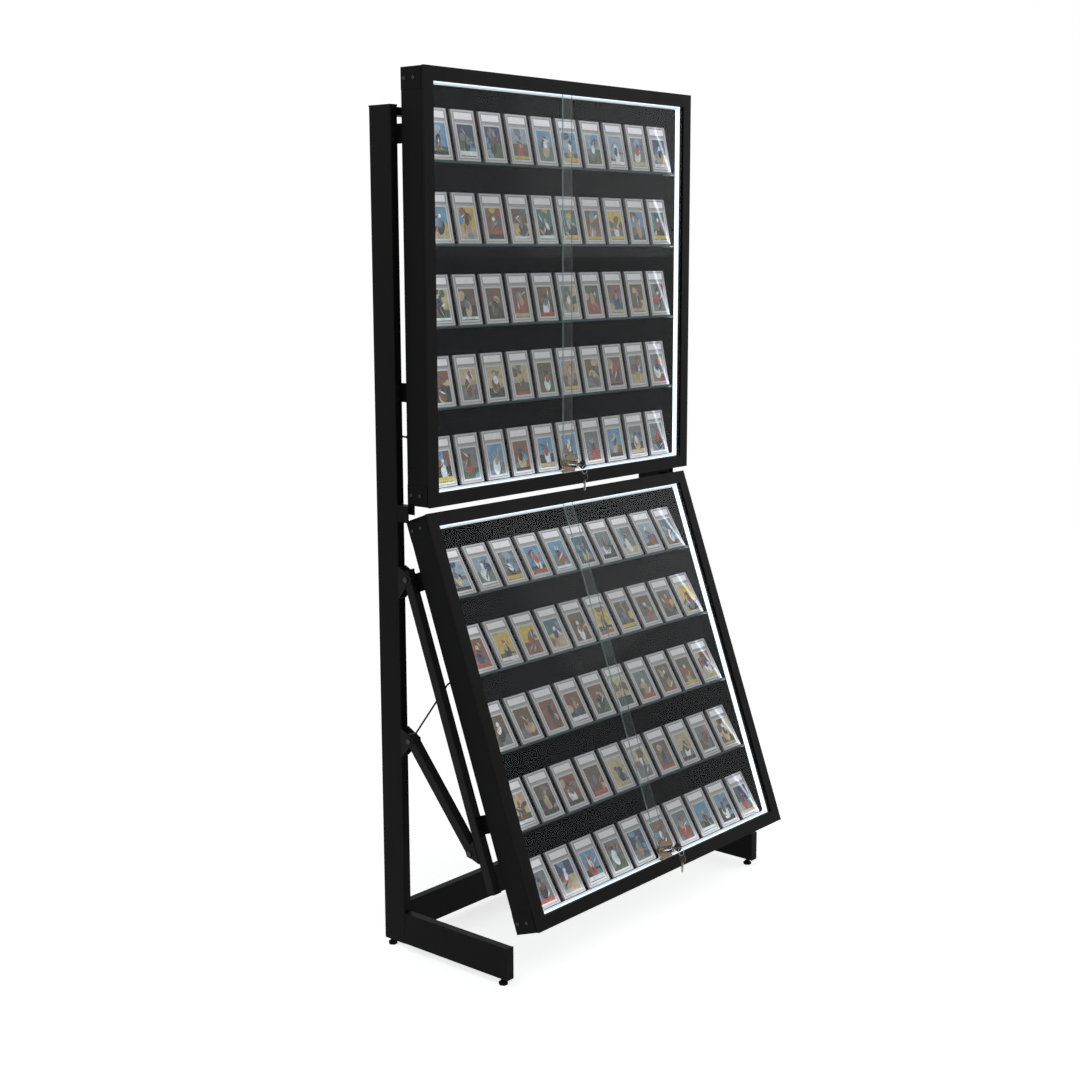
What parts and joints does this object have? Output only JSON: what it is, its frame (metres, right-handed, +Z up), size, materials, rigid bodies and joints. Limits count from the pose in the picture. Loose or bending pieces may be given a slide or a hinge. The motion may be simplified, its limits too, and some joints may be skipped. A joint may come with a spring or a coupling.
{
  "type": "trading card display case",
  "caption": "Free-standing tube stand with two lit display cases, one upright and one tilted, with locking sliding glass doors and shelves of graded cards.",
  "frame": {"origin": "on the floor, under the middle of the whole object's bounding box", "axes": "+X along the cases to the right when facing the doors, +Y to the back, +Z up"},
  "size_m": [1.1444, 0.5816, 2.269],
  "materials": {
    "stand_powder_coat": "satin black powder coat",
    "case_aluminium": "satin black anodised aluminium",
    "track_plastic": "black extruded plastic",
    "black_plastic": "black moulded plastic",
    "black_steel": "blackened steel",
    "zinc_steel": "zinc-plated steel",
    "foot_rubber": "black rubber pad on a steel stud",
    "led_diffuser": "milky diffuser, lit cool white",
    "back_panel": "very dark blue-grey panel",
    "card_holder": "clear card holder with its card",
    "lock_chrome": "polished chrome",
    "key_steel": "nickel-plated steel",
    "lead_sleeve": "black cable sleeve",
    "clear_clip": "clear moulded plastic",
    "clear_glass": "clear tempered glass with green edges"
  },
  "bodies": {
    "stand": {"arm_clevises": "stand_powder_coat", "bottom_crossbar": "stand_powder_coat", "brace_clevises": "stand_powder_coat", "case_brackets": "stand_powder_coat", "case_rests": "stand_powder_coat", "corner_plates": "case_aluminium", "lead_glands": "black_plastic", "left_arm": "stand_powder_coat", "left_brace": "stand_powder_coat", "left_foot_tube": "stand_powder_coat", "left_upright": "stand_powder_coat", "levelling_inserts": "zinc_steel", "lower_back_panel": "back_panel", "lower_bezel": "case_aluminium", "lower_case_frame": "case_aluminium", "lower_door_tracks": "track_plastic", "lower_floor_plate": "case_aluminium", "lower_glass_shelves": "clear_glass", "lower_graded_cards": "card_holder", "lower_led_lead": "lead_sleeve", "lower_led_strips": "led_diffuser", "pivot_bolts": "black_steel", "power_inlet": "black_plastic", "right_arm": "stand_powder_coat", "right_brace": "stand_powder_coat", "right_foot_tube": "stand_powder_coat", "right_upright": "stand_powder_coat", "shelf_clips": "clear_clip", "top_crossbar": "stand_powder_coat", "tube_end_caps": "black_plastic", "upper_back_panel": "back_panel", "upper_bezel": "case_aluminium", "upper_case_frame": "case_aluminium", "upper_door_tracks": "track_plastic", "upper_floor_plate": "case_aluminium", "upper_glass_shelves": "clear_glass", "upper_graded_cards": "card_holder", "upper_led_lead": "lead_sleeve", "upper_led_strips": "led_diffuser"},
    "upper_left_door": {"upper_left_door": "clear_glass"},
    "upper_right_door": {"upper_right_door": "clear_glass", "upper_lock_body": "lock_chrome"},
    "upper_key": {"upper_lock_plug": "lock_chrome", "upper_lock_key": "key_steel"},
    "upper_bolt": {"upper_lock_bolt": "key_steel"},
    "upper_spare": {"upper_spare_key": "key_steel"},
    "lower_left_door": {"lower_left_door": "clear_glass"},
    "lower_right_door": {"lower_right_door": "clear_glass", "lower_lock_body": "lock_chrome"},
    "lower_key": {"lower_lock_plug": "lock_chrome", "lower_lock_key": "key_steel"},
    "lower_bolt": {"lower_lock_bolt": "key_steel"},
    "lower_spare": {"lower_spare_key": "key_steel"},
    "front_left_levelling_foot": {"front_left_levelling_foot": "foot_rubber"},
    "front_right_levelling_foot": {"front_right_levelling_foot": "foot_rubber"},
    "rear_left_levelling_foot": {"rear_left_levelling_foot": "foot_rubber"},
    "rear_right_levelling_foot": {"rear_right_levelling_foot": "foot_rubber"}
  },
  "joints": [
    {"name": "upper_right_door_slide", "type": "slide", "parent": "stand", "child": "upper_right_door", "axis": [1, 0, 0], "range_m": [-0.488, 0]},
    {"name": "upper_left_door_slide", "type": "slide", "parent": "stand", "child": "upper_left_door", "axis": [-1, 0, 0], "range_m": [-0.488, 0]},
    {"name": "upper_key_turn", "type": "hinge", "parent": "upper_right_door", "child": "upper_key", "pos_m": [-0.004, 0.08201, 1.254], "axis": [0, 1, 0], "range_deg": [0, 90]},
    {"name": "upper_bolt_throw", "type": "slide", "parent": "upper_right_door", "child": "upper_bolt", "axis": [0, 1, 0], "range_m": [0, 0.0063]},
    {"name": "upper_spare_hang", "type": "hinge", "parent": "upper_key", "child": "upper_spare", "pos_m": [-0.004, 0.06051, 1.24161], "axis": [0, 1, 0], "range_deg": [-90, 0]},
    {"name": "lower_right_door_slide", "type": "slide", "parent": "stand", "child": "lower_right_door", "axis": [1, 0, 0], "range_m": [-0.488, 0]},
    {"name": "lower_left_door_slide", "type": "slide", "parent": "stand", "child": "lower_left_door", "axis": [-1, 0, 0], "range_m": [-0.488, 0]},
    {"name": "lower_key_turn", "type": "hinge", "parent": "lower_right_door", "child": "lower_key", "pos_m": [-0.004, -0.25111, 0.23627], "axis": [0, 0.9397, -0.342], "range_deg": [0, 90]},
    {"name": "lower_bolt_throw", "type": "slide", "parent": "lower_right_door", "child": "lower_bolt", "axis": [0, 0.9397, -0.342], "range_m": [0, 0.0063]},
    {"name": "lower_spare_hang", "type": "hinge", "parent": "lower_key", "child": "lower_spare", "pos_m": [-0.004, -0.27554, 0.23198], "axis": [0, 0.9397, -0.342], "range_deg": [-90, 0]},
    {"name": "front_left_foot_screw", "type": "hinge", "parent": "stand", "child": "front_left_levelling_foot", "pos_m": [-0.5535, -0.12219, 0.008], "axis": [0, 0, 1], "continuous": true},
    {"name": "front_right_foot_screw", "type": "hinge", "parent": "stand", "child": "front_right_levelling_foot", "pos_m": [0.5535, -0.12219, 0.008], "axis": [0, 0, 1], "continuous": true},
    {"name": "rear_left_foot_screw", "type": "hinge", "parent": "stand", "child": "rear_left_levelling_foot", "pos_m": [-0.5535, 0.27381, 0.008], "axis": [0, 0, 1], "continuous": true},
    {"name": "rear_right_foot_screw", "type": "hinge", "parent": "stand", "child": "rear_right_levelling_foot", "pos_m": [0.5535, 0.27381, 0.008], "axis": [0, 0, 1], "continuous": true}
  ],
  "couplings": [
    {"joint": "upper_bolt_throw", "follows": "upper_key_turn", "m_per_rad": 0.004},
    {"joint": "upper_spare_hang", "follows": "upper_key_turn", "ratio": -1},
    {"joint": "lower_bolt_throw", "follows": "lower_key_turn", "m_per_rad": 0.004},
    {"joint": "lower_spare_hang", "follows": "lower_key_turn", "ratio": -1}
  ]
}
